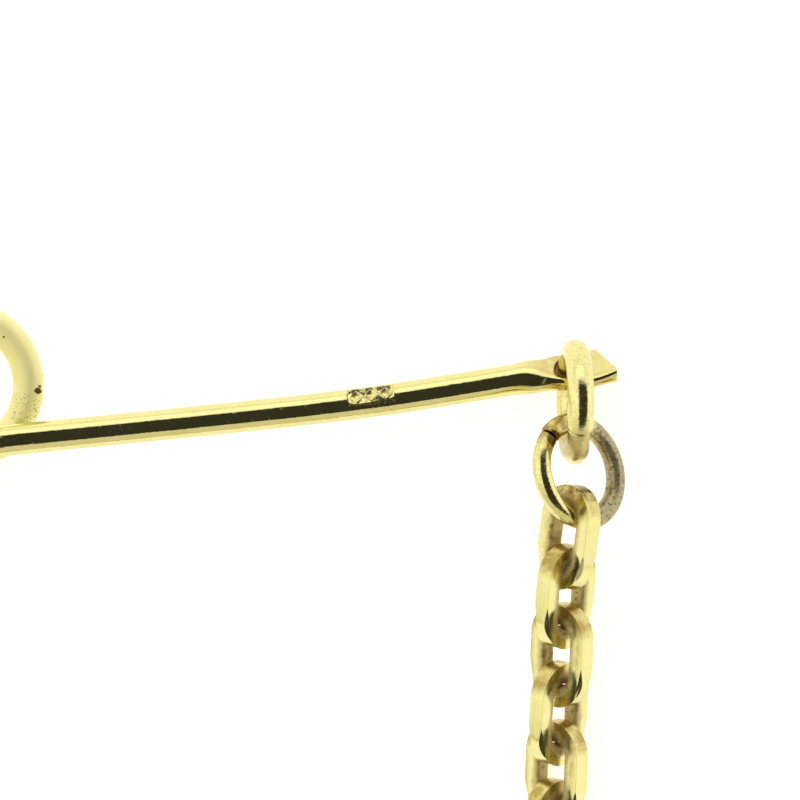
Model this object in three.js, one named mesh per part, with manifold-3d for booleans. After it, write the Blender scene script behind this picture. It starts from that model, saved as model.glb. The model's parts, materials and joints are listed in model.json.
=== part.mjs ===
// Tie chain: a wire bar with a button loop, a pierced eye at each end of the bar, and a chain
// of oval links that hangs between the eyes. Millimetres, +Z up, the set lies flat on Z = 0.
import * as THREE from 'three';
import { mergeVertices } from 'three/addons/utils/BufferGeometryUtils.js';
import Module from 'manifold-3d';

const wasm = await Module();
wasm.setup();

// ---- driving dimensions ----
const WIRE = 1.3;              // bar wire, diameter
const TIP_X = 27.35;           // half the bar's length
const LOOP_R = 2.95;           // button loop, centreline radius
const LOOP_X = -0.13;          // its middle, from the middle of the bar
const LOW_Z = WIRE / 2;        // centre height of wire that lies on the table
const HIGH_Z = 2.05;           // centre height where the wire crosses over itself
const EYE_X = 25.7;            // hole centre, from the middle of the bar
const EYE_TILT = 52;           // degrees the flattened end is turned about the bar
const EYE_ANGLE = 50.9;        // degrees below the ring's middle level where the ring passes it
const EYE_THICK = 0.5;
const EYE_HOLE = 1.5;
const HOLE_SHIFT = 0.05;       // hole centre to plate centre
const TIP_CORNERS = [26.3, 26.7];   // where the lower and the upper edge of the tip turn in
// Half the width of the wire as it spreads into the flattened end: [x, half width].
const SPREAD = [[23.3, 0.65], [24.1, 0.7], [24.5, 0.8], [24.9, 0.87], [25.7, 0.98], [26.7, 1.07]];
const SLIT = 0.12;             // gap between the two walls of the flattened wire
const STAMP = { x: 17.1, length: 2.0, width: 0.85, depth: 0.05, tilt: 27 };

const EYE_RING = { radius: 2.07, wire: 1.08, x: 25.67, y: -3.198 };
const DROP_RING = { radius: 2.0, wire: 0.8, x: 25.318, y: -6.065, z: 2.761, lean: -4.9, tilt: 36 };
const RING_TURN = 5.6;         // degrees both rings are turned about the vertical

const LINK = { length: 4.36, width: 2.84, wire: 0.72, swell: 0.05, cut: 0.09, roll: 45 };
const PITCH = 2.5;             // pivot to pivot along the chain
const FIRST_PIVOT = { x: 25.028, y: -7.506, z: 2.891 };
const LINKS_EACH_SIDE = 18;    // and one more in the middle
const STRAIGHT = [13, 9.5, 7.5, 8, 7.5];   // inward lean of the first links, degrees
const DESCENT = [0.15, 0.25, 0.25, 0.21, 0.14];    // share of the way down to the table, each

const GOLD = { color: 0xd8b95a, roughness: 0.28, metalness: 1 };
const PALE_GOLD = { color: 0xdcc26c, roughness: 0.34, metalness: 1 };

const UP = new THREE.Vector3(0, 0, 1);
const rad = THREE.MathUtils.degToRad;
const vec = (x, y, z) => new THREE.Vector3(x, y, z);
const smooth = (t) => THREE.MathUtils.smoothstep(t, 0, 1);

// ---- geometry helpers ----
// Skins a list of equal rings of points: closed on itself, or capped at both ends.
function skin(rings, closed) {
  const n = rings[0].length;
  const position = rings.flat().flatMap((p) => [p.x, p.y, p.z]);
  const index = [];
  const spans = closed ? rings.length : rings.length - 1;
  for (let i = 0; i < spans; i++) {
    const a = i * n;
    const b = ((i + 1) % rings.length) * n;
    for (let k = 0; k < n; k++) {
      const m = (k + 1) % n;
      index.push(a + k, a + m, b + m, a + k, b + m, b + k);
    }
  }
  if (!closed) {
    const last = (rings.length - 1) * n;
    for (let k = 1; k < n - 1; k++) {
      index.push(0, k + 1, k, last, last + k, last + k + 1);
    }
  }
  const geometry = new THREE.BufferGeometry();
  geometry.setAttribute('position', new THREE.Float32BufferAttribute(position, 3));
  geometry.setIndex(volume(position, index) < 0 ? index.reverse() : index);
  return geometry;
}

function volume(position, index) {
  const at = (i) => new THREE.Vector3().fromArray(position, 3 * i);
  let sum = 0;
  for (let i = 0; i < index.length; i += 3) {
    sum += at(index[i]).dot(at(index[i + 1]).cross(at(index[i + 2])));
  }
  return sum / 6;
}

function toManifold(geometry) {
  const bare = new THREE.BufferGeometry();
  bare.setAttribute('position', geometry.getAttribute('position'));
  bare.setIndex(geometry.getIndex());
  const merged = mergeVertices(bare, 1e-5);
  return new wasm.Manifold(new wasm.Mesh({
    numProp: 3,
    vertProperties: new Float32Array(merged.getAttribute('position').array),
    triVerts: new Uint32Array(merged.getIndex().array),
  }));
}

function fromManifold(solid) {
  const mesh = solid.getMesh();
  const geometry = new THREE.BufferGeometry();
  geometry.setAttribute('position', new THREE.BufferAttribute(mesh.vertProperties, 3));
  geometry.setIndex(new THREE.BufferAttribute(mesh.triVerts, 1));
  return geometry;
}

// ---- the bar ----
// The ring stands on the table; its wire passes through the hole in the flattened end.
const ringZ = EYE_RING.radius + EYE_RING.wire / 2 + 0.03;
const plateWide = vec(0, Math.cos(rad(EYE_TILT)), -Math.sin(rad(EYE_TILT)));
const hole = vec(EYE_X, EYE_RING.y, ringZ)
  .addScaledVector(vec(0, Math.cos(rad(EYE_ANGLE)), -Math.sin(rad(EYE_ANGLE))), EYE_RING.radius);
const eyeY = hole.y - HOLE_SHIFT * plateWide.y;
const eyeZ = hole.z - HOLE_SHIFT * plateWide.z;

// The arm is straight for most of its length and bends a little before the eye.
const armLine = new THREE.CatmullRomCurve3([
  vec(3.5, -2.49, 0), vec(8, -2.48, 0), vec(12, -2.465, 0), vec(15, -2.43, 0),
  vec(17.8, -2.35, 0), vec(20.8, -2.18, 0), vec(23.7, -2.0, 0), vec(25.6, eyeY, 0),
  vec(TIP_X, eyeY + 0.06, 0),
]);

function armCentre(x, startZ) {
  let low = 0;
  let high = 1;
  while (high - low > 1e-6) {
    const mid = (low + high) / 2;
    if (armLine.getPoint(mid).x < x) low = mid; else high = mid;
  }
  const z = THREE.MathUtils.mapLinear(Math.min(x, EYE_X), 3.5, EYE_X, startZ, eyeZ);
  return vec(x, armLine.getPoint(low).y, z);
}

function spread(x) {
  const next = SPREAD.findIndex(([at]) => at > x);
  if (next === 0) return SPREAD[0][1];
  if (next < 0) return SPREAD.at(-1)[1];
  const [[x0, half0], [x1, half1]] = SPREAD.slice(next - 1, next + 1);
  return THREE.MathUtils.mapLinear(x, x0, x1, half0, half1);
}

// Half width, half thickness, squareness and turn of the wire at a distance from the middle.
function armSection(x) {
  const flat = smooth((x - 23.3) / 1.6);
  const half = spread(x);
  const upper = half - 1.55 * Math.max(0, (x - TIP_CORNERS[1]) / (TIP_X - TIP_CORNERS[1]));
  const lower = -half + 0.4 * Math.max(0, (x - TIP_CORNERS[0]) / (TIP_X - TIP_CORNERS[0]));
  return {
    half: (upper - lower) / 2,
    thick: THREE.MathUtils.lerp(WIRE / 2, EYE_THICK / 2, flat),
    square: THREE.MathUtils.lerp(1, 0.5, flat),
    turn: -EYE_TILT * flat,
    shift: (upper + lower) / 2,
  };
}

const ROUND = { half: WIRE / 2, thick: WIRE / 2, square: 1, turn: 0, shift: 0 };
const ARM_X = [27.35, 27.1, 26.9, 26.7, 26.3, 25.9, 25.4, 24.9, 24.65, 24.4, 24.15, 23.9,
  23.6, 23.3, 20.8, 18.6, 17.8, 16, 12, 8, 5, 3.5];

function loopStations() {
  const pass = [[2.4, -2.49], [1.2, -2.52], [0.3, -2.62], [-0.6, -2.72], [-1.35, -2.59]];
  const points = pass.map(([x, y]) => vec(x, y, HIGH_Z));
  for (let angle = 230; angle >= -50; angle -= 10) {
    const z = THREE.MathUtils.lerp(HIGH_Z, LOW_Z, smooth((225 - angle) / 125));
    points.push(vec(LOOP_X + LOOP_R * Math.cos(rad(angle)), LOOP_R * Math.sin(rad(angle)), z));
  }
  pass.reverse().forEach(([x, y]) => points.push(vec(-x, y, LOW_Z)));
  return points.map((at) => ({ at, section: ROUND }));
}

function wireRing(station, before, after) {
  const { at, section } = station;
  const along = after.clone().sub(before).normalize();
  const side = along.clone().cross(UP).normalize();
  const over = side.clone().cross(along);
  const turn = rad(section.turn);
  const wide = side.clone().multiplyScalar(Math.cos(turn)).addScaledVector(over, Math.sin(turn));
  const deep = over.clone().multiplyScalar(Math.cos(turn)).addScaledVector(side, -Math.sin(turn));
  const ring = [];
  const sides = 12;
  const grow = 1 / Math.cos(Math.PI / sides);
  const bend = (v) => Math.sign(v) * Math.abs(v) ** section.square;
  for (let k = 0; k < sides; k++) {
    const a = (k + 0.5) * 2 * Math.PI / sides;
    const reach = section.square === 1 ? grow : 1;
    ring.push(at.clone()
      .addScaledVector(wide, section.shift + section.half * reach * bend(Math.cos(a)))
      .addScaledVector(deep, section.thick * reach * bend(Math.sin(a))));
  }
  return ring;
}

function eyeCuts(sign) {
  const drill = wasm.Manifold.cylinder(4, EYE_HOLE / 2, EYE_HOLE / 2, 24, true)
    .rotate([-EYE_TILT, 0, 0]).translate([sign * hole.x, hole.y, hole.z]);
  const slit = wasm.Manifold.cube([1.7, 4, SLIT], true)
    .rotate([-EYE_TILT, 0, 0]).translate([sign * (TIP_X - 0.05), eyeY, eyeZ]);
  return [drill, slit];
}

function stampCut() {
  const at = armCentre(STAMP.x, HIGH_Z);
  const up = vec(0, Math.sin(rad(STAMP.tilt)), Math.cos(rad(STAMP.tilt)));
  const face = WIRE / 2 + 0.5 - STAMP.depth;
  return wasm.Manifold.cube([STAMP.length, STAMP.width, 1], true)
    .rotate([-STAMP.tilt, 0, 1]).translate(at.addScaledVector(up, face).toArray());
}

function barGeometry() {
  const right = ARM_X.map((x) => ({ at: armCentre(x, HIGH_Z), section: armSection(x) }));
  const left = ARM_X.map((x) => ({ at: armCentre(x, LOW_Z), section: armSection(x) })).reverse();
  left.forEach((s) => { s.at.x *= -1; });
  const stations = [...right, ...loopStations(), ...left];
  const rings = stations.map((s, i) => wireRing(
    s,
    (stations[i - 1] ?? s).at,
    (stations[i + 1] ?? s).at,
  ));
  let solid = toManifold(skin(rings, false));
  for (const cut of [...eyeCuts(1), ...eyeCuts(-1), stampCut()]) solid = solid.subtract(cut);
  return fromManifold(solid);
}

// ---- rings and links ----
const ringGeometry = (ring, sides, steps) => new THREE.TorusGeometry(
  ring.radius, ring.wire / 2 / Math.cos(Math.PI / sides), sides, steps);

// An oval ring of square wire with cut corners: length along Y, width along X. The wire is
// thicker by the swell, on its inner side, at the middle of both bends.
function linkGeometry() {
  const bend = (LINK.width - LINK.wire) / 2;
  const leg = (LINK.length - LINK.wire) / 2 - bend;
  const side = LINK.wire / 2;
  const near = side - LINK.cut;
  const section = [[side, near], [near, side], [-near, side], [-side, near],
    [-side, -near], [-near, -side], [near, -side], [side, -near]];
  const rings = [];
  for (const end of [1, -1]) {
    for (let k = 0; k <= 6; k++) {
      const a = rad(30 * k + (end > 0 ? 0 : 180));
      const out = vec(Math.cos(a), Math.sin(a), 0);
      const at = out.clone().multiplyScalar(bend).add(vec(0, end * leg, 0));
      const swell = LINK.swell * Math.sin(rad(30 * k));
      rings.push(section.map(([o, u]) => at.clone()
        .addScaledVector(out, o < 0 ? o - swell : o).addScaledVector(UP, u)));
    }
  }
  return skin(rings, true);
}

// ---- the chain's rest shape, on the right-hand side ----
const cornerReach = (LINK.wire - LINK.cut) * Math.SQRT1_2;
const linkZ = (LINK.width - LINK.wire) / 2 * Math.sin(rad(LINK.roll)) + cornerReach + 0.02;

// How far each link drops, as the chain comes down from the ring to the table.
const drops = Array.from({ length: LINKS_EACH_SIDE + 1 }, (_, i) => (
  (FIRST_PIVOT.z - linkZ) * (DESCENT[i] ?? 0)));

// Inward lean of each link: nearly straight at first, then round to 90 degrees in the middle.
function leans(power) {
  const from = STRAIGHT.length;
  return Array.from({ length: LINKS_EACH_SIDE }, (_, i) => {
    if (i < from) return STRAIGHT[i];
    const t = (i + 1 - from) / (LINKS_EACH_SIDE + 1 - from);
    return STRAIGHT[from - 1] + (90 - STRAIGHT[from - 1]) * t ** power;
  });
}

const acrossOf = (list) => list.reduce((sum, lean, i) => (
  sum + Math.sqrt(PITCH ** 2 - drops[i] ** 2) * Math.sin(rad(lean))), 0);

function chainLeans() {
  const wanted = FIRST_PIVOT.x - PITCH / 2;
  let low = 0.4;
  let high = 3;
  while (high - low > 1e-9) {
    const mid = (low + high) / 2;
    if (acrossOf(leans(mid)) > wanted) low = mid; else high = mid;
  }
  return leans(low);
}

const group = new THREE.Group();
group.name = 'tie_chain';

function addPiece(name, geometry, look, colour) {
  const mesh = new THREE.Mesh(geometry, new THREE.MeshStandardMaterial(look));
  mesh.name = name;
  group.add(mesh);
  return mesh;
}

// Stands a piece at a centre with its own X and Y along two directions, or at the mirror
// image of that place on the left-hand side.
function stand(mesh, centre, x, y, left) {
  const z = x.clone().cross(y);
  const [a, b, c, at] = [x, y, z, centre].map((v) => v.clone());
  if (left) {
    at.x *= -1;
    a.set(a.x, -a.y, -a.z);
    b.x *= -1;
    c.x *= -1;
  }
  mesh.position.copy(at);
  mesh.quaternion.setFromRotationMatrix(new THREE.Matrix4().makeBasis(a, b, c));
}

// Each hinge: the child piece, its parent, where the pivot is, and the way round it turns.
// Every hinge line runs along X, so that both halves of the chain stay matched in the middle.
const hinges = [];
function addHinge(child, parent, at, left) {
  const pivot = at.clone();
  if (left) pivot.x *= -1;
  hinges.push({ child, parent, at: pivot, left });
}

const turned = vec(Math.sin(rad(RING_TURN)), Math.cos(rad(RING_TURN)), 0);
const across = vec(turned.y, -turned.x, 0);
const eyeRingCentre = vec(EYE_RING.x, EYE_RING.y, ringZ);
const dropCentre = vec(DROP_RING.x, DROP_RING.y, DROP_RING.z);
const dropAlong = turned.clone().multiplyScalar(Math.cos(rad(DROP_RING.lean)))
  .addScaledVector(UP, Math.sin(rad(DROP_RING.lean)));
const dropOver = across.clone().cross(dropAlong);
const dropWide = across.clone().multiplyScalar(Math.cos(rad(DROP_RING.tilt)))
  .addScaledVector(dropOver, -Math.sin(rad(DROP_RING.tilt)));
const dropTop = dropCentre.clone().addScaledVector(dropAlong, DROP_RING.radius);
const dropBottom = dropCentre.clone().addScaledVector(dropAlong, -DROP_RING.radius);

function linkPlaces() {
  const places = [];
  const at = vec(FIRST_PIVOT.x, FIRST_PIVOT.y, FIRST_PIVOT.z);
  for (const lean of [...chainLeans(), 90]) {
    const drop = drops[places.length] / PITCH;
    const along = vec(-Math.sin(rad(lean)), -Math.cos(rad(lean)), 0)
      .multiplyScalar(Math.sqrt(1 - drop ** 2)).addScaledVector(UP, -drop);
    const roll = rad(places.length % 2 === 0 ? LINK.roll : -LINK.roll);
    const side = UP.clone().cross(along).normalize();
    const over = along.clone().cross(side);
    const wide = side.multiplyScalar(Math.cos(roll)).addScaledVector(over, Math.sin(roll));
    const centre = at.clone().addScaledVector(along, PITCH / 2);
    places.push({ pivot: at.clone(), centre, wide, back: along.clone().negate() });
    at.addScaledVector(along, PITCH);
  }
  return places;
}

// ---- assembly ----
addPiece('bar', barGeometry(), GOLD);
const eyeRing = ringGeometry(EYE_RING, 12, 26);
const dropRing = ringGeometry(DROP_RING, 10, 24);
const oval = linkGeometry();
const places = linkPlaces();

for (const left of [false, true]) {
  const end = left ? 'left' : 'right';
  stand(addPiece(`eye_ring_${end}`, eyeRing, GOLD), eyeRingCentre, turned, UP, left);
  addHinge(`eye_ring_${end}`, 'bar', eyeRingCentre, left);
  stand(addPiece(`drop_ring_${end}`, dropRing, GOLD), dropCentre, dropWide, dropAlong, left);
  addHinge(`drop_ring_${end}`, `eye_ring_${end}`, dropTop, left);
  let parent = `drop_ring_${end}`;
  places.slice(0, LINKS_EACH_SIDE).forEach(({ pivot, centre, wide, back }, i) => {
    const name = `link_${end}_${String(i + 1).padStart(2, '0')}`;
    stand(addPiece(name, oval, PALE_GOLD), centre, wide, back, left);
    addHinge(name, parent, pivot, left);
    parent = name;
  });
}
const middle = places[LINKS_EACH_SIDE];
stand(addPiece('link_middle', oval, PALE_GOLD), middle.centre, middle.wide, middle.back, false);
addHinge('link_middle', `link_right_${LINKS_EACH_SIDE}`, middle.pivot, false);

// The origin is under the middle of the whole set.
group.updateMatrixWorld(true);
const box = new THREE.Box3().setFromObject(group, true);
const origin = vec((box.min.x + box.max.x) / 2, (box.min.y + box.max.y) / 2, box.min.z);
group.children.forEach((mesh) => mesh.position.sub(origin));
hinges.forEach((hinge) => hinge.at.sub(origin));

export { hinges, origin };
export default group;
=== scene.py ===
import json
import math

import bmesh
import bpy
import numpy as np
from mathutils import Matrix, Vector


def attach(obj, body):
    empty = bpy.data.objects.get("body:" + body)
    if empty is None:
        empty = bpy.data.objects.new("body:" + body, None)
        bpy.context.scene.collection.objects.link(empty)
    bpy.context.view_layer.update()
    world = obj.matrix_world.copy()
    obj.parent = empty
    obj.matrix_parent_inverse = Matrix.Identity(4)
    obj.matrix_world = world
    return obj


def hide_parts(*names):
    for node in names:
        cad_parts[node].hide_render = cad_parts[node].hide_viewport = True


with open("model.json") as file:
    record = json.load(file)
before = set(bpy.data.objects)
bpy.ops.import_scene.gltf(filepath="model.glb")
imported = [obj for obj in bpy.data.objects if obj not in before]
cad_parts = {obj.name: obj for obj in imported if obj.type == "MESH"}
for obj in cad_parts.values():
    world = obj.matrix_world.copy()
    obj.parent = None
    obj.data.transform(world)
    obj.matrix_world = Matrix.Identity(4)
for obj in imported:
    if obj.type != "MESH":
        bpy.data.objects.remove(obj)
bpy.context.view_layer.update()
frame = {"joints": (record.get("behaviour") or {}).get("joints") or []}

MM = 0.001
UP = Vector((0, 0, 1))

# ---- dimensions shared with the CAD part, in millimetres and degrees ----
WIRE = 1.3                      # diameter of the bar's wire
TIP_X = 27.35                   # half the bar's length
TIP_CORNERS = (26.3, 26.7)      # where the lower and the upper edge of the tip turn in
ARM_START = 3.5                 # where the straight arm begins, from the middle of the bar
LOOP_R = 2.95                   # button loop, centreline radius
LOOP_X = -0.13                  # its middle, from the middle of the bar
LOW_Z = WIRE / 2                # centre height of wire that lies on the table
HIGH_Z = 2.05                   # centre height where the wire crosses over itself
EYE_X = 25.7                    # hole centre, from the middle of the bar
EYE_TILT = 52                   # turn of the flattened end about the bar
EYE_ANGLE = 50.9                # where the ring passes the hole, below the ring's middle level
HOLE_SHIFT = 0.05               # hole centre to plate centre
RING_TURN = 5.6                 # turn of both rings about the vertical
STAMP_X = 17.1                  # middle of the stamped panel
STAMP_TILT = 27                 # its lean about the bar
EYE_RING = {"radius": 2.07, "wire_radius": 0.54, "y": -3.198}
DROP_RING = {"radius": 2.0, "wire_radius": 0.4, "lean": -4.9, "tilt": 36}
LINK = {"length": 4.36, "width": 2.84, "wire": 0.72, "roll": 45}
LINKS_EACH_SIDE = 18            # and one more in the middle

# ---- where the real pieces differ a little from the CAD's shapes and true places ----
EYE_THICK = 0.31                # half the thickness of the flattened end
# Half the width of the wire as it spreads into the flattened end: distances, half widths.
SPREAD = ([23.0, 24.1, 24.5, 24.9, 25.7, 26.7], [0.65, 0.78, 0.85, 0.92, 1.02, 1.09])
HOLE_ASIDE = -0.13              # negative is towards the middle of the bar
EYE_RING_ASIDE = -0.23
EYE_RING_LEAN = 2.9             # from upright
DROP_RING_LEAN = -8.4
DROP_RING_TILT = 36.9
LINK_SWELL = 0.2                # extra thickness on the inner side of both bends
# The link in each drop ring: its roll comes on top of the others', its swell is that of its
# upper bend.
FIRST_LINK = {"aside": -0.13, "roll": 6, "swell": 0.33}

# Where the two ends of each ring's wire meet, in degrees, and how much the wire past it loses
# in radius, is nearer to the ring's centre and stands out of line.
EYE_SEAM = {"at": 122, "thin": 0.09, "in": 0.03, "aside": -0.03}
DROP_SEAM = {"at": 140, "thin": 0.03, "in": 0.05, "aside": -0.05}
DROP_OVAL = 0.045               # how far the drop ring is out of round

joints = {j["child"]: Vector(j["pos_m"]) / MM for j in frame["joints"]}
ring_centre = joints["eye_ring_right"]
SHIFT_Y = ring_centre.y - EYE_RING["y"]     # from the heights above to the frame's
PLATE_WIDE = Vector((0, math.cos(math.radians(EYE_TILT)), -math.sin(math.radians(EYE_TILT))))
PLATE_UP = Vector((0, math.sin(math.radians(EYE_TILT)), math.cos(math.radians(EYE_TILT))))
HOLE = Vector((EYE_X, ring_centre.y + EYE_RING["radius"] * math.cos(math.radians(EYE_ANGLE)),
               ring_centre.z - EYE_RING["radius"] * math.sin(math.radians(EYE_ANGLE))))
PLATE = HOLE - PLATE_WIDE * HOLE_SHIFT


# ---- mesh helpers ----
def mesh_object(name, points, faces):
    """A mesh object from points in millimetres, with its faces turned outward."""
    mesh = bpy.data.meshes.new(name)
    mesh.from_pydata([tuple(float(v) * MM for v in p) for p in points], [], faces)
    mesh.validate()
    piece = bpy.data.objects.new(name, mesh)
    bpy.context.scene.collection.objects.link(piece)
    bm = bmesh.new()
    bm.from_mesh(mesh)
    bmesh.ops.recalc_face_normals(bm, faces=bm.faces)
    bm.to_mesh(mesh)
    bm.free()
    return piece


def shade(piece, angle):
    """Smooth shading, with sharp edges where faces meet at more than the angle."""
    piece.data.shade_smooth()
    piece.data.set_sharp_from_angle(angle=math.radians(angle))


def skin(rings, closed):
    """Points and quads of a tube through equal rings of points, capped if open."""
    n = len(rings[0])
    points = [p for ring in rings for p in ring]
    faces = []
    for i in range(len(rings) if closed else len(rings) - 1):
        a, b = i * n, (i + 1) % len(rings) * n
        faces += [(a + k, a + (k + 1) % n, b + (k + 1) % n, b + k) for k in range(n)]
    if not closed:
        last = (len(rings) - 1) * n
        faces += [tuple(range(n)), tuple(last + k for k in reversed(range(n)))]
    return points, faces


def cut(piece, cutter):
    """Takes the cutter's shape out of the piece and removes the cutter."""
    change = piece.modifiers.new("cut", "BOOLEAN")
    change.object = cutter
    change.solver = "EXACT"
    bpy.context.view_layer.objects.active = piece
    bpy.ops.object.modifier_apply(modifier=change.name)
    bpy.data.objects.remove(cutter)


def smooth(t):
    """Eases from 0 to 1 as t goes from 0 to 1."""
    t = min(max(t, 0.0), 1.0)
    return t * t * (3 - 2 * t)


def mix(a, b, t):
    return a + (b - a) * t


# ---- the bar ----
# The arm's line: distance from the middle, and height across the table where it is known.
ARM_POINTS = [(ARM_START, -2.49), (8, -2.48), (12, -2.465), (15, -2.43), (17.8, -2.35),
              (20.8, -2.18), (23.7, -2.0), (25.6, None), (TIP_X, None)]
TIP_RISE = 0.06                 # of the line from the eye to the tip

# Where along the arm each change of its section starts, and how long it takes.
TURNING = (22.9, 1.65)
THINNING = (23.2, 2.6)
SQUARING = (23.9, 1.3)
END_ROUNDNESS = 0.5             # of the flattened end's section; a round wire has 1
SPREAD_EASE = 0.3               # the spread is averaged this far to both sides
TIP_CUT = {"upper": 1.55, "lower": 0.3}     # how far each edge comes in at the tip


def arm_y(x):
    """The arm's line across the table: a smooth curve through the arm's points."""
    xs = np.array([p[0] for p in ARM_POINTS])
    end = PLATE.y - SHIFT_Y
    ys = np.array([p[1] for p in ARM_POINTS[:-2]] + [end, end + TIP_RISE])
    slopes = np.gradient(ys, xs)
    i = int(np.clip(np.searchsorted(xs, x) - 1, 0, len(xs) - 2))
    h = xs[i + 1] - xs[i]
    t = (x - xs[i]) / h
    return (ys[i] * (2 * t**3 - 3 * t**2 + 1) + slopes[i] * h * (t**3 - 2 * t**2 + t)
            + ys[i + 1] * (3 * t**2 - 2 * t**3) + slopes[i + 1] * h * (t**3 - t**2))


def arm_station(x, start_z):
    """Centre, half width, half thickness, roundness, turn and shift of the wire at x."""
    turned, thin, square = (smooth((x - start) / reach)
                            for start, reach in (TURNING, THINNING, SQUARING))
    half = float(np.interp(x + np.linspace(-SPREAD_EASE, SPREAD_EASE, 13), *SPREAD).mean())
    low_turn, high_turn = TIP_CORNERS
    upper = half - TIP_CUT["upper"] * max(0.0, (x - high_turn) / (TIP_X - high_turn))
    lower = -half + TIP_CUT["lower"] * max(0.0, (x - low_turn) / (TIP_X - low_turn))
    z = mix(start_z, PLATE.z, (min(x, EYE_X) - ARM_START) / (EYE_X - ARM_START))
    return [x, arm_y(x), z, (upper - lower) / 2, mix(WIRE / 2, EYE_THICK, thin),
            mix(1, END_ROUNDNESS, square), -EYE_TILT * turned, (upper + lower) / 2]


# The wire on its way from the arm to the loop, and mirrored on its way back.
LOOP_FOOT = [(2.4, -2.49), (1.2, -2.52), (0.3, -2.62), (-0.6, -2.72), (-1.35, -2.59)]
# The section of the loop where it is hammered a little flat.
HAMMERED = {"half_thick": 0.58, "roundness": 0.85, "turn": -35}


def loop_stations():
    """The wire round the button loop: its upper face is hammered a little flat.

    Going round from 230 to -50 degrees, the wire comes down to the table between 225 and 100,
    and is fully hammered between 200 and -25."""
    rows = [[x, y, HIGH_Z, WIRE / 2, WIRE / 2, 1, 0, 0] for x, y in LOOP_FOOT]
    for angle in range(230, -51, -10):
        z = mix(HIGH_Z, LOW_Z, smooth((225 - angle) / 125))
        flat = smooth((250 - angle) / 50) * smooth((angle + 75) / 50)
        a = math.radians(angle)
        rows.append([LOOP_X + LOOP_R * math.cos(a), LOOP_R * math.sin(a), z, WIRE / 2,
                     mix(WIRE / 2, HAMMERED["half_thick"], flat),
                     mix(1, HAMMERED["roundness"], flat), HAMMERED["turn"] * flat, 0])
    rows += [[-x, y, LOW_Z, WIRE / 2, WIRE / 2, 1, 0, 0] for x, y in reversed(LOOP_FOOT)]
    return rows


def refine(rows, steps):
    """Catmull-Rom through the rows of numbers, with the given steps in each span."""
    rows = np.array(rows)
    out = []
    for i in range(len(rows) - 1):
        p1, p2 = rows[i], rows[i + 1]
        p0, p3 = rows[max(i - 1, 0)], rows[min(i + 2, len(rows) - 1)]
        for t in np.arange(steps) / steps:
            out.append(0.5 * (2 * p1 + (p2 - p0) * t + (2 * p0 - 5 * p1 + 4 * p2 - p3) * t**2
                              + (3 * p1 - p0 - 3 * p2 + p3) * t**3))
    out.append(rows[-1])
    return np.array(out)


WIRE_SIDES = 52


def section(half, thick, roundness):
    """Points round a wire, from round to nearly rectangular, evenly spread in normal."""
    power = 2 / roundness
    points = []
    for k in range(WIRE_SIDES):
        a = (k + 0.5) * 2 * math.pi / WIRE_SIDES
        u = (half * abs(math.cos(a))) ** (1 / (power - 1))
        v = (thick * abs(math.sin(a))) ** (1 / (power - 1))
        size = (u**power + v**power) ** (-1 / power)
        points.append((math.copysign(half * u * size, math.cos(a)),
                       math.copysign(thick * v * size, math.sin(a))))
    return points


def wire_ring(at, along, half, thick, roundness, turn, shift):
    """The section of the wire at a point of its line, with the line's direction there."""
    side = along.cross(UP).normalized()
    over = side.cross(along)
    c, s = math.cos(math.radians(turn)), math.sin(math.radians(turn))
    wide = side * c + over * s
    deep = over * c - side * s
    return [at + wide * (shift + u) + deep * v for u, v in section(half, thick, roundness)]


def on_plate(sign, x, wide, up):
    """A point by its distances from the hole's centre, in the flattened end's own axes."""
    at = HOLE + PLATE_WIDE * wide + PLATE_UP * up
    return Vector((sign * (HOLE.x + HOLE_ASIDE + x), at.y, at.z))


# Height through the flattened end, radius there, and shift of the middle towards the tip.
HOLE_PROFILE = [(-2, 0.95, 0.1), (-0.36, 0.95, 0.1), (-0.24, 0.66, 0.1), (-0.17, 0.6, 0.1),
                (-0.02, 0.59, 0.1), (0, 0.73, 0), (0.06, 0.75, 0), (0.17, 0.765, 0),
                (0.24, 0.84, 0), (0.36, 1.1, 0), (2, 1.1, 0)]
# The gap between the two walls, across the tip: its ends, its middle and reach, its half
# height at the ends, and how much more that is in the middle.
SLIT = {"ends": (-1.6, 0.9), "middle": -0.35, "reach": 1.25, "least": 0.015, "more": 0.085}


def hole_cutter(sign):
    """A hole with rounded rims through the upper wall, and a tighter one through the lower."""
    rings = [[on_plate(sign, aside + r * math.cos(a), r * math.sin(a), up)
              for a in np.linspace(0, 2 * math.pi, 48, endpoint=False)]
             for up, r, aside in HOLE_PROFILE]
    return mesh_object("cutter", *skin(rings, False))


def slit_cutter(sign):
    """A lens-shaped gap between the two walls at the tip."""
    tip = TIP_X - HOLE.x - HOLE_ASIDE
    rings = []
    for y in np.linspace(*SLIT["ends"], 15):
        far = (y - SLIT["middle"]) / SLIT["reach"]
        gap = SLIT["least"] + SLIT["more"] * math.cos(far * math.pi / 2) ** 0.8
        rings.append([on_plate(sign, tip + dx, y - HOLE_SHIFT, z)
                      for dx, z in ((0.3, gap), (-0.5, gap * 0.7), (-0.8, 0),
                                    (-0.5, -gap * 0.7), (0.3, -gap))])
    return mesh_object("cutter", *skin(rings, False))


# Height of each level of the panel above the wire's axis, and how far it is wider there.
STAMP_LEVELS = ((0.575, -0.05), (0.585, -0.02), (0.64, 0.02), (1.0, 0.16))
STAMP_HALF = {"length": 0.98, "width": 0.33}
# The lozenges on the panel: where, how large, and size and height of each level.
PIP_PLACES = (-0.61, 0.0, 0.61)
PIP_HALF = {"length": 0.29, "width": 0.28}
PIP_LEVELS = ((1.0, 0.55), (1.0, 0.605), (0.86, 0.632), (0.6, 0.61), (0.38, 0.58))


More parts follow.
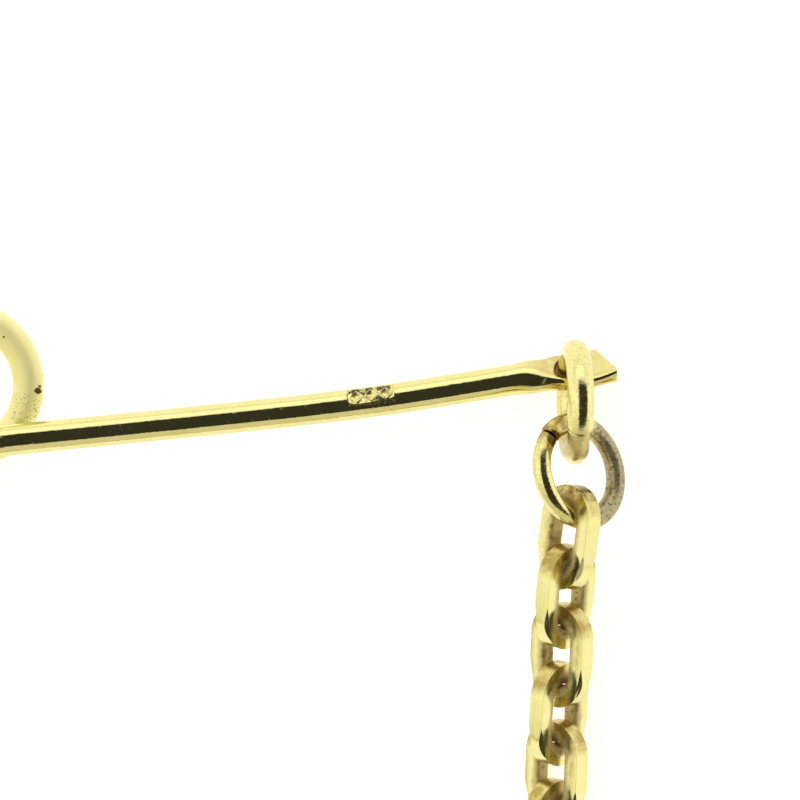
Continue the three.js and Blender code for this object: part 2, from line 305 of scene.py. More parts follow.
def stamp_frame():
    """Where the stamped panel is: its middle on the wire's axis, and its own axes."""
    row = arm_station(STAMP_X, HIGH_Z)
    slope = arm_y(STAMP_X + 0.5) - arm_y(STAMP_X - 0.5)
    long = Vector((1, slope, 0)).normalized()
    a = math.radians(STAMP_TILT)
    up = (UP * math.cos(a) + UP.cross(long) * math.sin(a)).normalized()
    return Vector((row[0], row[1] + SHIFT_Y, row[2])), long, up.cross(long), up


def stamp_cutter():
    """A shallow pan with rounded corners and sloping sides."""
    at, long, wide, up = stamp_frame()
    rings = []
    for height, grow in STAMP_LEVELS:
        ring = []
        for k in range(48):
            a = (k + 0.5) * 2 * math.pi / 48
            u = math.copysign(abs(math.cos(a)) ** 0.35, math.cos(a))
            v = math.copysign(abs(math.sin(a)) ** 0.45, math.sin(a))
            ring.append(at + long * (u * (STAMP_HALF["length"] + grow))
                        + wide * (v * (STAMP_HALF["width"] + grow)) + up * height)
        rings.append(ring)
    return mesh_object("cutter", *skin(rings, False))


EVEN_X = 22.0                   # the wire's section is even from the loop to here


def make_bar():
    """One wire from tip to tip, with the button loop in its middle and everything cut out."""
    xs = np.concatenate([np.arange(TIP_X, EVEN_X, -0.08), np.arange(EVEN_X, ARM_START, -0.4),
                         [ARM_START]])
    right = [arm_station(x, HIGH_Z) for x in xs]
    left = [arm_station(x, LOW_Z) for x in xs][::-1]
    left = [[-row[0]] + row[1:] for row in left]
    rows = np.concatenate([right[:-1], refine([right[-1]] + loop_stations() + [left[0]], 4),
                           left[1:]])
    centres = [Vector((r[0], r[1] + SHIFT_Y, r[2])) for r in rows]
    rings = []
    for i, row in enumerate(rows):
        along = (centres[min(i + 1, len(rows) - 1)] - centres[max(i - 1, 0)]).normalized()
        rings.append(wire_ring(centres[i], along, *row[3:]))
    piece = mesh_object("bar_wire", *skin(rings, False))
    for sign in (1, -1):
        cut(piece, hole_cutter(sign))
        cut(piece, slit_cutter(sign))
    cut(piece, stamp_cutter())
    shade(piece, 34)
    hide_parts("bar")
    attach(piece, "bar")
    return piece


def make_pips():
    """Three small lozenges in relief on the stamped panel."""
    at, long, wide, up = stamp_frame()
    pips = []
    for i, u in enumerate(PIP_PLACES):
        rings = []
        for size, height in PIP_LEVELS:
            ring = []
            for k in range(32):
                a = k * 2 * math.pi / 32
                c, s = math.cos(a), math.sin(a)
                r = size / (abs(c) ** 1.25 + abs(s) ** 1.25) ** 0.8
                ring.append(at + long * (u + PIP_HALF["length"] * r * c)
                            + wide * (PIP_HALF["width"] * r * s) + up * height)
            rings.append(ring)
        pip = mesh_object(f"stamp_pip_{i + 1}", *skin(rings, False))
        shade(pip, 40)
        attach(pip, "bar")
        pips.append(pip)
    return pips


# ---- rings ----
RING_SIDES = 32
RING_STEPS = 120
END_EASE = 0.09                 # rounding of the wire's ends
END_GAP = 0.03                  # between them
MISFIT = 1.1                    # radians past the seam where the wire is back to size


def open_ring(name, size, seam, oval, flip):
    """A round wire bent into a ring whose two rounded ends meet, out of line, at the seam.

    Past the seam the wire is thinner and stands aside, and comes back to size further on. The
    ring can be a little oval, longer from its upper left to its lower right."""
    gap = END_GAP / size["radius"]
    start = math.radians(seam["at"]) + gap / 2
    sweep = 2 * math.pi - gap
    rounding = [(END_EASE * (1 - math.cos(b)), END_EASE * (1 - math.sin(b)))
                for b in np.linspace(0, math.pi / 2, 5)]
    tail = rounding[-1][0] / size["radius"]
    marks = [(far / size["radius"], less) for far, less in rounding]
    marks += [(m, 0) for m in np.linspace(tail * 1.6, sweep - tail * 1.6, RING_STEPS)]
    marks += [(sweep - far / size["radius"], less) for far, less in reversed(rounding)]
    rings = []
    for m, less in marks:
        a = start + m
        near = smooth(1 - m / MISFIT)
        wire = size["wire_radius"] - seam["thin"] * near - less
        radius = size["radius"] - seam["in"] * near
        out = Vector((math.cos(a), math.sin(a), 0))
        at = out * radius + Vector((0, 0, seam["aside"] * near))
        rings.append([at + out * (wire * math.cos(b)) + Vector((0, 0, wire * math.sin(b)))
                      for b in np.linspace(0, 2 * math.pi, RING_SIDES, endpoint=False)])
    rings = [[Vector((p.x - oval * p.y, p.y - oval * p.x, p.z)) for p in ring] for ring in rings]
    if flip:
        rings = [[Vector((-p.x, p.y, p.z)) for p in ring] for ring in rings]
    piece = mesh_object(name, *skin(rings, False))
    shade(piece, 40)
    return piece


def place(piece, centre, x, y, left):
    """Stands a piece at a centre with its own X and Y along two directions, or mirrored."""
    z = x.cross(y)
    if left:
        x = Vector((x.x, -x.y, -x.z))
        y = Vector((-y.x, y.y, y.z))
        z = Vector((-z.x, z.y, z.z))
    basis = Matrix((x, y, z)).transposed().to_4x4()
    piece.matrix_world = Matrix.Translation(centre * MM) @ basis


def ring_axes(lean, tilt):
    """Directions of a ring that slopes by the lean and is tilted about its own length.

    The first two lie flat, along and across the ring; the last two are the ring's own."""
    turn, lean, tilt = (math.radians(v) for v in (RING_TURN, lean, tilt))
    turned = Vector((math.sin(turn), math.cos(turn), 0))
    across = Vector((turned.y, -turned.x, 0))
    along = turned * math.cos(lean) + UP * math.sin(lean)
    wide = across * math.cos(tilt) - across.cross(along) * math.sin(tilt)
    return turned, across, wide, along


def make_rings():
    """The upright ring in each flattened end, and the drop ring that hangs from it."""
    turned, across, _, true_along = ring_axes(DROP_RING["lean"], DROP_RING["tilt"])
    _, _, wide, along = ring_axes(DROP_RING_LEAN, DROP_RING_TILT)
    lean = math.radians(EYE_RING_LEAN)
    upright = UP * math.cos(lean) + across * math.sin(lean)
    made = []
    for left in (False, True):
        end = "left" if left else "right"
        sign = -1 if left else 1
        eye = open_ring(f"eye_ring_{end}_wire", EYE_RING, EYE_SEAM, 0, left)
        aside = Vector((sign * EYE_RING_ASIDE, 0, 0))
        place(eye, joints[f"eye_ring_{end}"] + aside, turned, upright, left)
        drop = open_ring(f"drop_ring_{end}_wire", DROP_RING, DROP_SEAM, DROP_OVAL, left)
        reach = Vector((sign * true_along.x, true_along.y, true_along.z))
        place(drop, joints[f"drop_ring_{end}"] - reach * DROP_RING["radius"], wide, along, left)
        for piece, node in ((eye, f"eye_ring_{end}"), (drop, f"drop_ring_{end}")):
            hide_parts(node)
            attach(piece, node)
        made.append((eye, drop))
    return made


# ---- chain ----
CRISP, EASED = 0.005, 0.13      # rounding of the outer and inner corners of a link's wire
BEND_STEPS = 24
FACET_TURN = 25                 # degrees the cut corners are turned towards the link's end
FACET_DEPTH = 0.10
DIAGONAL = 0.707                # each facet takes its edge off evenly on both sides
LEVELLING = 0.93                # how much of a link's slope its facets make up for


def link_section(swell):
    """Square wire with crisp outer corners and an inner side that is eased and crowned."""
    s = LINK["wire"] / 2
    outer = [(s, s - CRISP), (s - CRISP, s)]
    corner = [(-s + EASED - EASED * math.sin(b), s - EASED + EASED * math.cos(b))
              for b in np.linspace(0, math.pi / 2, 6)]
    half = outer + corner + [(-s, u) for u in (0.16, 0.08)]
    points = half + [(-s, 0)] + [(o, -u) for o, u in reversed(half)]
    return [(o - swell * max(0, math.cos(math.pi / 2 * u / s)) ** 0.6 if o < 0 else o, u)
            for o, u in points]


def link_mesh(descent, top_swell):
    """One diamond-cut link, with a facet across each corner of its lower bend.

    The facets are turned a little for a link that slopes down by the given angle. The top
    swell is the extra thickness on the inner side of the upper bend."""
    bend = (LINK["width"] - LINK["wire"]) / 2
    leg = (LINK["length"] - LINK["wire"]) / 2 - bend
    s = LINK["wire"] / 2
    rings = []
    for end in (1, -1):
        for k in range(BEND_STEPS + 1):
            turn = 180 * k / BEND_STEPS
            a = math.radians(turn + (0 if end > 0 else 180))
            out = Vector((math.cos(a), math.sin(a), 0))
            at = out * bend + Vector((0, end * leg, 0))
            most = top_swell if end > 0 else LINK_SWELL
            swell = most * math.sin(math.radians(turn)) ** 2
            rings.append([at + out * o + UP * u for o, u in link_section(swell)])
    piece = mesh_object("link_pattern", *skin(rings, True))
    bm = bmesh.new()
    bm.from_mesh(piece.data)
    facet = math.radians(FACET_TURN)
    for sx in (1, -1):
        for sz in (1, -1):
            normal = Vector((sx * DIAGONAL * math.cos(facet),
                             LEVELLING * math.sin(descent) - DIAGONAL * math.sin(facet),
                             sz * DIAGONAL))
            normal.normalize()
            out = Vector((normal.x, normal.y, 0)).normalized()
            corner = Vector((0, -leg, 0)) + out * (bend + s) + UP * sz * s
            bisected = bmesh.ops.bisect_plane(
                bm, geom=bm.verts[:] + bm.edges[:] + bm.faces[:], clear_outer=True,
                plane_co=(corner - normal * FACET_DEPTH) * MM, plane_no=normal, dist=1e-9)
            edges = [g for g in bisected["geom_cut"] if isinstance(g, bmesh.types.BMEdge)]
            bmesh.ops.contextual_create(bm, geom=edges)
    bm.to_mesh(piece.data)
    bm.free()
    shade(piece, 28)
    mesh = piece.data
    bpy.data.objects.remove(piece)
    return mesh


def chain_rows():
    """Names and pivots of the links on the right, on the left and in the middle."""
    rows = []
    for end, sign in (("right", 1), ("left", -1)):
        names = [f"link_{end}_{i:02d}" for i in range(1, LINKS_EACH_SIDE + 1)]
        pivots = [joints[n] for n in names]
        last = joints["link_middle"].copy()
        last.x *= sign
        rows.append((names, pivots + [last], sign))
    middle = joints["link_middle"]
    rows.append((["link_middle"], [middle, Vector((-middle.x, middle.y, middle.z))], 1))
    return rows


def make_links(gold, shaded_first):
    """Every link between its own pivot and the next, rolled to one side and the other in turn."""
    for names, pivots, sign in chain_rows():
        for i, name in enumerate(names):
            along = (pivots[i + 1] - pivots[i]).normalized()
            first = i == 0 and len(names) > 1
            roll = LINK["roll"] + (FIRST_LINK["roll"] if first else 0)
            roll = math.radians(roll * sign * (1 if i % 2 == 0 else -1))
            side = UP.cross(along).normalized()
            wide = side * math.cos(roll) + along.cross(side) * math.sin(roll)
            top_swell = FIRST_LINK["swell"] if first else LINK_SWELL
            pattern = link_mesh(math.asin(-along.z), top_swell)
            # the first link gets the material with more painted shade on its upper bend
            pattern.materials.append(shaded_first if first else gold)
            piece = bpy.data.objects.new(f"{name}_cut", pattern)
            bpy.context.scene.collection.objects.link(piece)
            aside = Vector((sign * FIRST_LINK["aside"] if first else 0, 0, 0))
            place(piece, (pivots[i] + pivots[i + 1]) / 2 + aside, wide, -along, False)
            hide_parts(name)
            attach(piece, name)


# ---- materials ----
class Nodes:
    """A short way to write a node tree."""

    def __init__(self, tree):
        self.tree = tree
        tree.nodes.clear()

    def add(self, kind, outputs=0, **values):
        node = self.tree.nodes.new(kind)
        for key, value in values.items():
            if key.startswith("in_"):
                self.feed(node, key[3:], value)
            else:
                setattr(node, key, value)
        return node.outputs[outputs]

    def feed(self, node, key, value):
        socket = node.inputs[int(key)] if key.isdigit() else node.inputs[key.replace("_", " ")]
        if isinstance(value, bpy.types.NodeSocket):
            self.tree.links.new(value, socket)
        else:
            socket.default_value = value

    def math(self, operation, a, b=0.0, c=0.0):
        return self.add("ShaderNodeMath", operation=operation, in_0=a, in_1=b, in_2=c)

    def ramp(self, value, low, high, to_low=0.0, to_high=1.0):
        """Eases from one level to another while the value goes from low to high."""
        return self.add("ShaderNodeMapRange", interpolation_type="SMOOTHSTEP", in_0=value,
                        in_1=low, in_2=high, in_3=to_low, in_4=to_high)

    def ramp_mm(self, value, low, high):
        """One beyond high and nothing beyond low, both lengths in millimetres."""
        return self.ramp(value, low * MM, high * MM)

    def blend(self, factor, a, b):
        return self.add("ShaderNodeMix", outputs=2, data_type="RGBA", in_0=factor, in_6=a, in_7=b)

    def noise(self, where, scale, detail=3.0, rough=0.55, stretch=(1, 1, 1), seed=None):
        """Noise with the given number of cells to the metre."""
        where = self.add("ShaderNodeMapping", in_0=where, in_3=stretch)
        extra = {} if seed is None else {"noise_dimensions": "4D", "in_W": seed}
        return self.add("ShaderNodeTexNoise", in_Vector=where, in_Scale=scale,
                        in_Detail=detail, in_Roughness=rough, **extra)


def colour(r, g, b):
    return (r, g, b, 1.0)


GOLD = colour(0.775, 0.705, 0.28)
PALE = colour(0.81, 0.745, 0.33)
WARM = colour(0.60, 0.47, 0.17)
BROWN = colour(0.29, 0.19, 0.055)
# dark brown of grime, also used for painted shade on the links and a painted dark reflection on
# the drop ring
GRIME_AND_SHADE = colour(0.13, 0.09, 0.03)
SATIN = colour(1.0, 0.95, 0.53)
AMBER = colour(0.42, 0.29, 0.075)
SILT = colour(0.44, 0.375, 0.205)

BUMP_HEIGHT = 0.00002           # metres
LOOP_ROUGH = 0.7                # added roughness of the button loop
# Dark spots on the button loop: x, y from the loop's middle, and radius.
LOOP_SPOTS = ((3.33, -0.38, 0.05), (3.24, -0.56, 0.13), (2.06, 1.81, 0.03))
LOOP_SPECKLES = (2.6, -1.2, 0.7)    # the same, for the patch of speckles at its foot
# Painted shade as dark marks along the upper edge of the stamped panel: middle and half length.
STAMP_SHADE_MARKS = ((-0.62, 0.14), (-0.05, 0.13), (0.55, 0.26))
# On the rings' own axes: painted shade on the drop ring where it passes behind the eye ring, a
# painted dark reflection by its seam, and the tan part of the eye ring.
DROP_BEHIND_SHADE = Vector((-1.35, 1.5, 0))
DROP_DARK_REFLECTION = Vector((-1.62, 1.2, 0.4))
EYE_TAN_X = -1.75


def new_material(name):
    material = bpy.data.materials.new(name)
    material.use_nodes = True
    return material, Nodes(material.node_tree)


def finish_gold(n, base, rough, bump, strength, dirt=0.0):
    """Gold, which is less of a mirror where there is dirt on it and where shade is painted on it.
    """
    metal = n.math("SUBTRACT", 1.0, dirt) if isinstance(dirt, bpy.types.NodeSocket) else 1.0
    normal = n.add("ShaderNodeBump", in_Strength=strength, in_Distance=BUMP_HEIGHT,
                   in_Height=bump)
    shader = n.add("ShaderNodeBsdfPrincipled", in_Base_Color=base, in_Metallic=metal,
                   in_Roughness=rough, in_Normal=normal)
    out = n.tree.nodes.new("ShaderNodeOutputMaterial")
    n.tree.links.new(shader, out.inputs["Surface"])


def from_point(n, where, point, mirrored=False):
    """Position relative to a point given in millimetres, on either end of the bar if mirrored."""
    if mirrored:
        x, y, z = (n.add("ShaderNodeSeparateXYZ", outputs=k, in_0=where) for k in range(3))
        where = n.add("ShaderNodeCombineXYZ", in_X=n.math("ABSOLUTE", x), in_Y=y, in_Z=z)
    return n.add("ShaderNodeVectorMath", operation="SUBTRACT", in_0=where, in_1=point * MM)


def along(n, offset, axis):
    """How far an offset goes along an axis."""
    return n.add("ShaderNodeVectorMath", outputs=1, operation="DOT_PRODUCT",
                 in_0=offset, in_1=axis)


def length(n, offset):
    return n.add("ShaderNodeVectorMath", outputs=1, operation="LENGTH", in_0=offset)


def eye_shade_and_dirt(n, where, grain):
    """Painted shade inside the hole of a flattened end, and dirt a little round its rim."""
    off = from_point(n, where, HOLE + Vector((HOLE_ASIDE, 0, 0)), True)
    depth = along(n, off, PLATE_UP)
    far = length(n, off)
    inside = n.math("MULTIPLY", n.ramp_mm(depth, 0.22, 0.12), n.ramp_mm(far, 0.98, 0.82))
    rim = n.math("MULTIPLY", n.ramp_mm(far, 2.6, 1.0), n.ramp(grain, 0.40, 0.6, 0.35, 0.9))
    return inside, rim


def loop_region(n, where):
    """One on the button loop, away from the straight wire below it."""
    off = from_point(n, where, Vector((LOOP_X, SHIFT_Y, 0)))
    near = n.ramp_mm(n.math("ABSOLUTE", along(n, off, (1, 0, 0))), 4.6, 4.2)
    return n.math("MULTIPLY", near, n.ramp_mm(along(n, off, (0, 1, 0)), -2.0, -1.6))


def loop_spots(n, where, grain):
    """Dark spots of dirt on the button loop, and speckles at its foot."""
    total = 0.0
    for x, y, size in (*LOOP_SPOTS, LOOP_SPECKLES):
        off = from_point(n, where, Vector((x, SHIFT_Y + y, LOW_Z)))
        flat = n.add("ShaderNodeVectorMath", operation="MULTIPLY", in_0=off, in_1=(1, 1, 0))
        drift = n.math("MULTIPLY_ADD", grain, 0.14 * MM, length(n, flat))
        spot = n.ramp_mm(drift, size + 0.09, size + 0.05)
        if (x, y, size) == LOOP_SPECKLES:
            spot = n.math("MULTIPLY", spot, n.ramp(grain, 0.55, 0.66, 0, 0.35))
        total = n.math("MAXIMUM", total, spot)
    return total


def stamp_dirt_and_shade(n, where, grain):
    """Dirt on the bottom of the stamped panel, and painted shade as dark marks along its upper
    edge.
    """
    at, long, wide, up = stamp_frame()
    off = from_point(n, where, at)
    along_panel = n.ramp_mm(n.math("ABSOLUTE", along(n, off, long)), 1.00, 0.94)
    across_panel = along(n, off, wide)
    low = n.ramp_mm(along(n, off, up), 0.632, 0.62)
    within = n.math("MULTIPLY", n.math("MULTIPLY", along_panel, low),
                    n.ramp_mm(n.math("ABSOLUTE", across_panel), 0.42, 0.38))
    # painted shade: dark marks along the panel's upper edge, where its wall shades it
    edge = n.ramp_mm(n.math("MULTIPLY_ADD", grain, 0.3 * MM, across_panel), 0.25, 0.36)
    marks = 0.0
    for middle, half in STAMP_SHADE_MARKS:
        aside = n.math("ABSOLUTE", n.math("SUBTRACT", along(n, off, long), middle * MM))
        marks = n.math("MAXIMUM", marks, n.ramp_mm(aside, half + 0.04, half))
    edge = n.math("MULTIPLY", edge, marks)
    return n.math("MULTIPLY", within, n.math("MAXIMUM", edge, n.ramp(grain, 0.45, 0.6, 0.0, 0.5)))


def bar_gold():
    """Polished drawn wire: fine lines along it, haze, small pits, dirt where it gathers, and
    painted shade inside the holes and along the upper edge of the stamped panel.
    """
    material, n = new_material("bar_gold")
    where = n.add("ShaderNodeTexCoord", outputs=3)
    drawn = n.noise(where, 1.0, 4, 0.6, (350, 7000, 7000))
    haze = n.noise(where, 900, 4)
    specks = n.noise(where, 6500, 2, 0.5)
    grain = n.noise(where, 9000, 3, 0.6)
    loop = loop_region(n, where)
    inside, rim = eye_shade_and_dirt(n, where, haze)
    base = n.blend(n.ramp(haze, 0.35, 0.75), GOLD, PALE)
    base = n.blend(n.ramp(specks, 0.68, 0.75, 0, 0.5), base, WARM)
    base = n.blend(loop, base, SATIN)
    base = n.blend(rim, base, WARM)
    # painted shade: brown inside each hole of the flattened ends, below its upper rim
    base = n.blend(inside, base, BROWN)
    # dirt spots on the button loop, and the stamped panel's dirt with painted shade along its
    # upper edge
    dirt = n.math("MAXIMUM", stamp_dirt_and_shade(n, where, grain), loop_spots(n, where, grain))
    base = n.blend(dirt, base, GRIME_AND_SHADE)
    rough = n.math("ADD", n.ramp(haze, 0.3, 0.8, 0.05, 0.12), n.ramp(specks, 0.6, 0.75, 0, 0.2))
    rough = n.math("MULTIPLY_ADD", loop, LOOP_ROUGH, rough)
    matt = n.math("MAXIMUM", inside, dirt)
    rough = n.math("MULTIPLY_ADD", matt, 0.35, rough)
    matt = n.math("MULTIPLY", matt, 0.6)
    bump = n.math("MULTIPLY_ADD", drawn, 0.6, n.math("MULTIPLY", specks, 0.8))
    finish_gold(n, base, rough, bump, 0.2, matt)
    return material


def pip_gold():
    """Gold of the small relief, with dirt left on it."""
    material, n = new_material("relief_gold")
    where = n.add("ShaderNodeTexCoord", outputs=3)
    grain = n.noise(where, 7000, 3)
    base = n.blend(n.ramp(grain, 0.4, 0.62), GOLD, WARM)
    base = n.blend(n.ramp(grain, 0.55, 0.66, 0, 0.8), base, BROWN)
    finish_gold(n, base, n.ramp(grain, 0.3, 0.7, 0.2, 0.4), grain, 0.3)
    return material


def ring_gold(name, dull):
    """Round wire with fine wear. The drop ring is dull and grey-brown down one side, with painted
    shade where it passes behind the eye ring and a painted dark reflection by its seam, and the
    eye ring is tan past its seam."""
    material, n = new_material(name)
    where = n.add("ShaderNodeTexCoord", outputs=3)
    fine = n.noise(where, 7500, 3, 0.65)
    broad = n.noise(where, 1300, 3)
    x = n.add("ShaderNodeSeparateXYZ", in_0=where)
    base = n.blend(n.ramp(broad, 0.35, 0.7), GOLD, PALE)
    base = n.blend(n.ramp(fine, 0.5, 0.68, 0, 0.6), base, WARM)
    rough = n.math("ADD", n.ramp(broad, 0.3, 0.75, 0.10, 0.2), n.ramp(fine, 0.5, 0.7, 0, 0.2))
    if dull:
        drift = n.math("MULTIPLY_ADD", broad, 1.6 * MM, x)
        side = n.ramp_mm(drift, 0.8, 1.9)
        patch = n.math("MULTIPLY", side, n.ramp(fine, 0.3, 0.6, 0.8, 1.0))
        base = n.blend(patch, base, SILT)
        base = n.blend(n.math("MULTIPLY", side, n.ramp(fine, 0.52, 0.62, 0, 0.75)), base, GRIME_AND_SHADE)
        # painted shade, warm and brown, where the drop ring passes behind the eye ring
        far = length(n, from_point(n, where, DROP_BEHIND_SHADE))
        behind_shade = n.ramp_mm(n.math("MULTIPLY_ADD", broad, 1.2 * MM, far), 1.8, 1.2)
        base = n.blend(n.math("MULTIPLY", behind_shade, n.ramp(fine, 0.3, 0.6, 0.5, 0.9)), base, WARM)
        base = n.blend(n.math("MULTIPLY", behind_shade, n.ramp(broad, 0.42, 0.56, 0, 0.8)), base, BROWN)
        # painted reflection: a dark spot by the drop ring's seam
        far = length(n, from_point(n, where, DROP_DARK_REFLECTION))
        spot = n.ramp_mm(n.math("MULTIPLY_ADD", fine, 0.2 * MM, far), 0.46, 0.40)
        base = n.blend(n.math("MULTIPLY", spot, 0.9), base, GRIME_AND_SHADE)
        rough = n.math("MULTIPLY_ADD", side, 0.16, rough)
    else:
        back = n.math("ABSOLUTE", n.math("SUBTRACT", x, EYE_TAN_X * MM))
        side = n.ramp_mm(n.math("MULTIPLY_ADD", fine, 0.4 * MM, back), 0.9, 0.5)
        base = n.blend(n.math("MULTIPLY", side, n.ramp(fine, 0.3, 0.6, 0.5, 0.95)), base, WARM)
        rough = n.math("MULTIPLY_ADD", side, 0.15, rough)
    bump = n.math("MULTIPLY_ADD", fine, 0.8, n.math("MULTIPLY", broad, 0.7))
    finish_gold(n, base, rough, bump, 0.42, n.math("MULTIPLY", side, 0.35))
    return material


def link_gold(name, bend_shade):
    """Bright cut outer faces, with amber and brown painted shade, mixed with grime, on the inner
    side of each link and on its upper bend, where it hangs in the link before.

    The last argument is how heavily more painted shade, brown and dark, covers the upper bend,
    where the link hangs in a ring."""
    material, n = new_material(name)
    where = n.add("ShaderNodeTexCoord", outputs=3)
    own = n.math("MULTIPLY", n.add("ShaderNodeObjectInfo", outputs=5), 40.0)
    lines = n.noise(where, 1.0, 3, 0.6, (6500, 500, 6500), own)
    broad = n.noise(where, 1900, 3, seed=own)
    fine = n.noise(where, 5000, 3, 0.6, seed=own)
    x, y = (n.add("ShaderNodeSeparateXYZ", outputs=k, in_0=where) for k in range(2))
    leg = (LINK["length"] - LINK["width"]) / 2 * MM
    past = n.math("MAXIMUM", n.math("SUBTRACT", n.math("ABSOLUTE", y), leg), 0.0)
    radius = n.math("SQRT", n.math("ADD", n.math("MULTIPLY", x, x),
                                   n.math("MULTIPLY", past, past)))
    # painted shade mixed with grime: amber, brown and dark on the inner side of each link, amber
    # on its upper bend
    inner = n.ramp_mm(n.math("MULTIPLY_ADD", broad, 0.5 * MM, radius), 1.36, 1.02)
    bend = n.ramp_mm(y, 0.8, 1.5)
    amber = n.math("MAXIMUM", inner, n.math("MULTIPLY", bend, n.ramp(broad, 0.35, 0.6, 0.4, 1.0)))
    base = n.blend(n.ramp(broad, 0.35, 0.7), GOLD, PALE)
    base = n.blend(n.math("MULTIPLY", amber, 0.85), base, WARM)
    base = n.blend(n.math("MULTIPLY", bend, n.ramp(broad, 0.4, 0.6, 0.15, 0.8)), base, AMBER)
    worst = n.math("MULTIPLY", inner, n.ramp(n.math("MULTIPLY_ADD", bend, 0.12, broad),
                                             0.48, 0.66, 0.0, 0.8))
    base = n.blend(worst, base, BROWN)
    base = n.blend(n.math("MULTIPLY", inner, n.ramp(fine, 0.58, 0.66, 0, 0.6)), base, GRIME_AND_SHADE)
    # painted shade: more brown and dark on the upper bend of a link that hangs in a drop ring
    if bend_shade:
        top = n.ramp_mm(n.math("MULTIPLY_ADD", x, -0.25, y), 1.3, 1.8)
        heavy = n.math("MULTIPLY", top, n.ramp(broad, 0.40, 0.56, 0.3 * bend_shade, bend_shade))
        base = n.blend(heavy, base, BROWN)
        base = n.blend(n.math("MULTIPLY", top, n.ramp(fine, 0.5, 0.62, 0, bend_shade)), base, GRIME_AND_SHADE)
    rough = n.math("ADD", n.ramp(broad, 0.3, 0.75, 0.10, 0.2), n.math("MULTIPLY", inner, 0.42))
    rough = n.math("MULTIPLY_ADD", bend, 0.12, rough)
    grit = n.math("MULTIPLY", n.math("MULTIPLY", fine, inner), 1.4)
    bump = n.math("MULTIPLY_ADD", lines, 0.5, grit)
    finish_gold(n, base, rough, bump, 0.3, n.math("MULTIPLY", inner, 0.6))
    return material


# ---- studio ----
FLOOR = {"half": 0.9, "level": -0.00003, "glow": 0.62}      # lengths in metres
# A dark card over the set: its middle, half its size and the softness of its edge, as slopes
# of the direction to them, and its brightness.
CARD = {"right": 0.58, "up": -0.18, "half_right": 0.96, "half_up": 0.97, "level": 0.04,
        "soft": 0.03}
BACKDROP = 1.05                 # brightness of the set behind everything
LAMP = {"at": (0.03, 0.42, 0.26), "towards": (0.01, 0.016, 0), "width": 0.5, "height": 0.22,
        "watts": 0.12}          # lengths in metres
# What the camera looks at, how far away it is and how much it takes in, in millimetres.
VIEW = {"x": 18.27, "y": SHIFT_Y - 2.42, "z": 1.5, "distance": 110, "width": 33.33}
SENSOR = 36


def make_floor():
    """Pale paper that glows a little, so that it stays white between the shadows."""
    bm = bmesh.new()
    bmesh.ops.create_grid(bm, x_segments=8, y_segments=8, size=FLOOR["half"])
    mesh = bpy.data.meshes.new("floor")
    bm.to_mesh(mesh)
    bm.free()
    floor = bpy.data.objects.new("floor", mesh)
    floor.location.z = FLOOR["level"]
    bpy.context.scene.collection.objects.link(floor)
    material, n = new_material("pale_paper")
    where = n.add("ShaderNodeTexCoord", outputs=3)
    tone = n.blend(n.noise(where, 40, 3), colour(0.93, 0.93, 0.925), colour(0.95, 0.95, 0.95))
    shader = n.add("ShaderNodeBsdfPrincipled", in_Base_Color=tone, in_Roughness=0.9,
                   in_Emission_Color=colour(1, 1, 1), in_Emission_Strength=FLOOR["glow"])
    out = n.tree.nodes.new("ShaderNodeOutputMaterial")
    n.tree.links.new(shader, out.inputs["Surface"])
    mesh.materials.append(material)


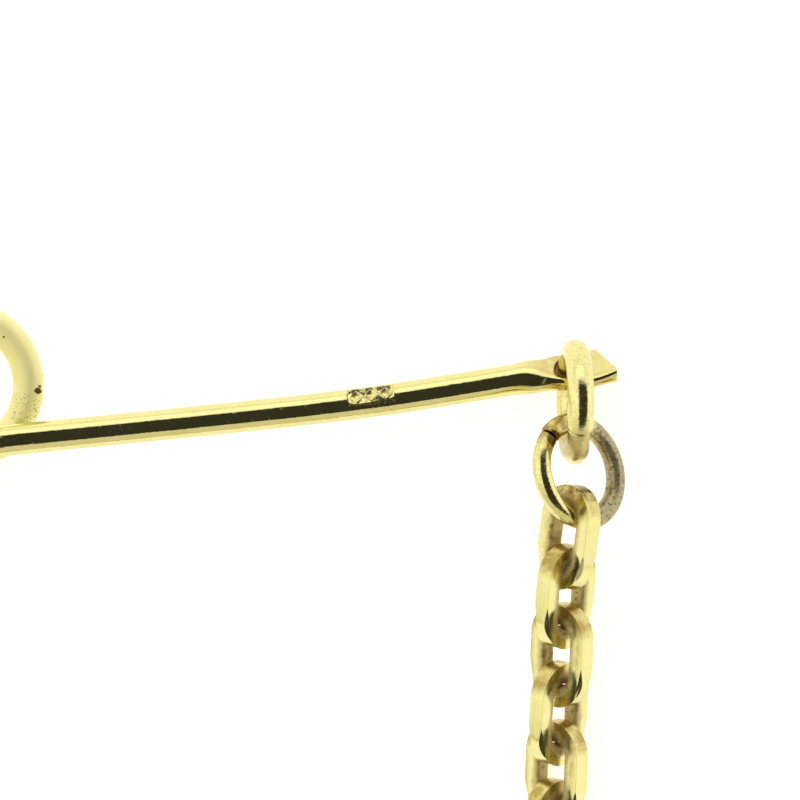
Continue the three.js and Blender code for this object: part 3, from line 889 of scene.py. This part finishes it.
def make_world():
    """A white tent that is a little greyer on one side, with a dark card overhead.

    The camera itself sees an even backdrop instead."""
    world = bpy.data.worlds.new("studio")
    bpy.context.scene.world = world
    world.use_nodes = True
    n = Nodes(world.node_tree)
    where = n.add("ShaderNodeTexCoord", outputs=0)
    turn = math.radians(-RING_TURN)

    def part(x, y, z):
        return n.add("ShaderNodeVectorMath", outputs=1, operation="DOT_PRODUCT",
                     in_0=where, in_1=(x, y, z))

    right = part(math.cos(turn), math.sin(turn), 0)
    up = part(-math.sin(turn), math.cos(turn), 0)
    high = n.math("MAXIMUM", part(0, 0, 1), 0.001)

    def within(value, middle, half):
        off = n.math("ABSOLUTE", n.math("SUBTRACT", n.math("DIVIDE", value, high), middle))
        return n.ramp(off, half - CARD["soft"], half + CARD["soft"], 1, 0)

    card = n.math("MULTIPLY", within(right, CARD["right"], CARD["half_right"]),
                  within(up, CARD["up"], CARD["half_up"]))
    tent = n.math("MULTIPLY", n.ramp(up, -0.9, 0.0, 0.80, 1.3), n.ramp(up, 0.1, 0.5, 1, 0.85))
    tint = n.blend(n.ramp(up, -0.9, 0.2), colour(1.0, 0.955, 0.87), colour(1, 1, 1))
    level = n.math("MULTIPLY_ADD", n.math("SUBTRACT", CARD["level"], tent), card, tent)
    seen = n.add("ShaderNodeLightPath", outputs=0)
    tent_light = n.add("ShaderNodeBackground", in_Color=tint, in_Strength=level)
    backdrop = n.add("ShaderNodeBackground", in_Color=colour(1, 1, 1), in_Strength=BACKDROP)
    both = n.add("ShaderNodeMixShader", in_0=seen, in_1=tent_light, in_2=backdrop)
    out = n.tree.nodes.new("ShaderNodeOutputWorld")
    n.tree.links.new(both, out.inputs["Surface"])


def make_lamp():
    """A soft key light from behind the set."""
    light = bpy.data.lights.new("soft_key", "AREA")
    light.shape = "RECTANGLE"
    light.size, light.size_y = LAMP["width"], LAMP["height"]
    light.energy = LAMP["watts"]
    lamp = bpy.data.objects.new("soft_key", light)
    lamp.location = LAMP["at"]
    ahead = Vector(LAMP["towards"]) - Vector(LAMP["at"])
    lamp.rotation_euler = ahead.to_track_quat("-Z", "Y").to_euler()
    lamp.visible_camera = False
    bpy.context.scene.collection.objects.link(lamp)


def make_camera():
    """A camera straight above the right half of the bar, turned as the rings are."""
    data = bpy.data.cameras.new("camera")
    data.sensor_width = SENSOR
    data.lens = SENSOR * VIEW["distance"] / VIEW["width"]
    data.clip_start, data.clip_end = 0.01, 10
    camera = bpy.data.objects.new("camera", data)
    camera.location = Vector((VIEW["x"], VIEW["y"], VIEW["z"] + VIEW["distance"])) * MM
    camera.rotation_euler = (0, 0, math.radians(-RING_TURN))
    bpy.context.scene.collection.objects.link(camera)
    bpy.context.scene.camera = camera


# ---- assembly ----
make_camera()
make_world()
make_lamp()
make_floor()
bpy.context.scene.view_settings.view_transform = "Standard"

bar = make_bar()
bar.data.materials.append(bar_gold())
relief = pip_gold()
for pip in make_pips():
    pip.data.materials.append(relief)
eye_look, drop_look = ring_gold("eye_ring_gold", False), ring_gold("drop_ring_gold", True)
for eye, drop in make_rings():
    eye.data.materials.append(eye_look)
    drop.data.materials.append(drop_look)
# the first link in each drop ring gets more painted shade on its upper bend
make_links(link_gold("chain_gold", 0.0), link_gold("first_link_shade_gold", 0.8))
